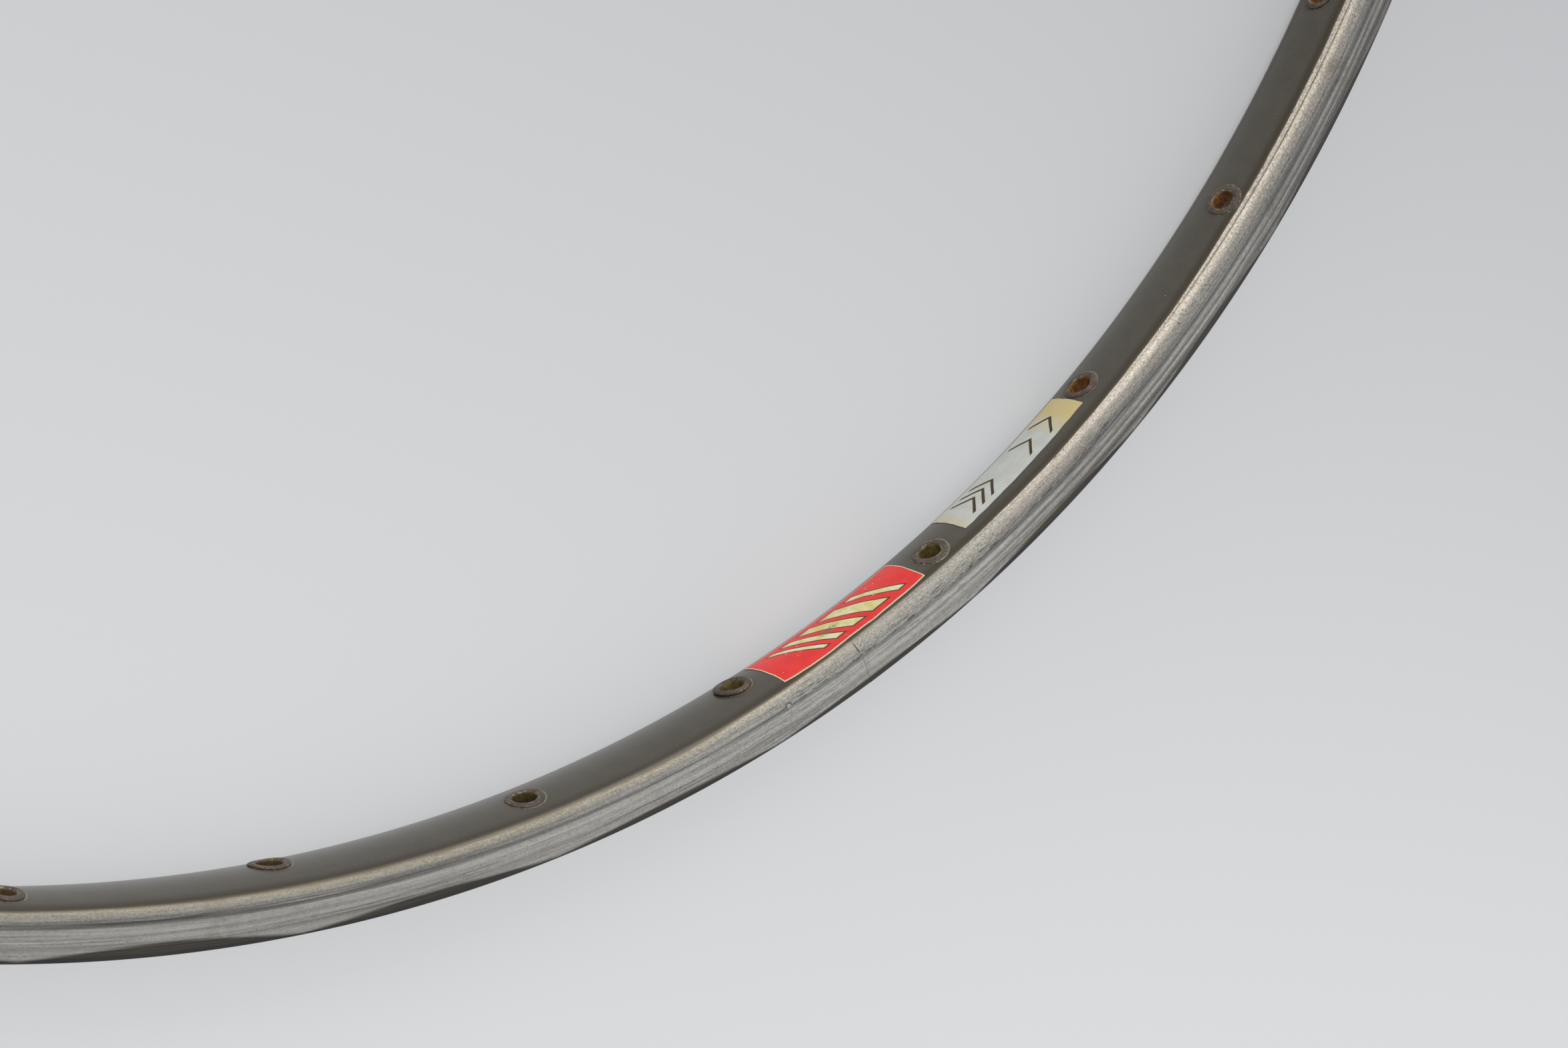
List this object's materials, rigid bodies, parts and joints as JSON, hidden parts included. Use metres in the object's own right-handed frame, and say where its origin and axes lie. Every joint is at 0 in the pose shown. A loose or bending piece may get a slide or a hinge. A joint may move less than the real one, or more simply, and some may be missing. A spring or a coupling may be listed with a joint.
{
  "type": "bicycle rim",
  "caption": "Hollow box-section bicycle rim for glued tubular tyres, with a crowned spoke face, flat brake tracks, a dished tyre bed, staggered eyelet-lined spoke holes and two worn labels.",
  "frame": {"origin": "wheel centre, on the wheel axis at the rim's mid-plane", "axes": "+Z along the wheel axis, up as the rim lies flat; +X towards the joint between the rim's ends, with the valve hole on -X"},
  "size_m": [0.633, 0.6329, 0.0196],
  "materials": {
    "worn_anodised_aluminium": "satin dark anodising, worn to bare metal on the brake tracks",
    "plain_aluminium": "mill finish",
    "rusted_eyelet": "dark, rusted",
    "red_label": "worn satin film",
    "silver_label": "worn silver film"
  },
  "bodies": {
    "root": {"rim_hoop": "worn_anodised_aluminium", "joint_plug": "plain_aluminium", "eyelet_01": "rusted_eyelet", "eyelet_02": "rusted_eyelet", "eyelet_03": "rusted_eyelet", "eyelet_04": "rusted_eyelet", "eyelet_05": "rusted_eyelet", "eyelet_06": "rusted_eyelet", "eyelet_07": "rusted_eyelet", "eyelet_08": "rusted_eyelet", "eyelet_09": "rusted_eyelet", "eyelet_10": "rusted_eyelet", "eyelet_11": "rusted_eyelet", "eyelet_12": "rusted_eyelet", "eyelet_13": "rusted_eyelet", "eyelet_14": "rusted_eyelet", "eyelet_15": "rusted_eyelet", "eyelet_16": "rusted_eyelet", "eyelet_17": "rusted_eyelet", "eyelet_18": "rusted_eyelet", "eyelet_19": "rusted_eyelet", "eyelet_20": "rusted_eyelet", "eyelet_21": "rusted_eyelet", "eyelet_22": "rusted_eyelet", "eyelet_23": "rusted_eyelet", "eyelet_24": "rusted_eyelet", "eyelet_25": "rusted_eyelet", "eyelet_26": "rusted_eyelet", "eyelet_27": "rusted_eyelet", "eyelet_28": "rusted_eyelet", "eyelet_29": "rusted_eyelet", "eyelet_30": "rusted_eyelet", "eyelet_31": "rusted_eyelet", "eyelet_32": "rusted_eyelet", "eyelet_33": "rusted_eyelet", "eyelet_34": "rusted_eyelet", "eyelet_35": "rusted_eyelet", "eyelet_36": "rusted_eyelet", "label_red": "red_label", "label_silver": "silver_label"}
  },
  "joints": []
}
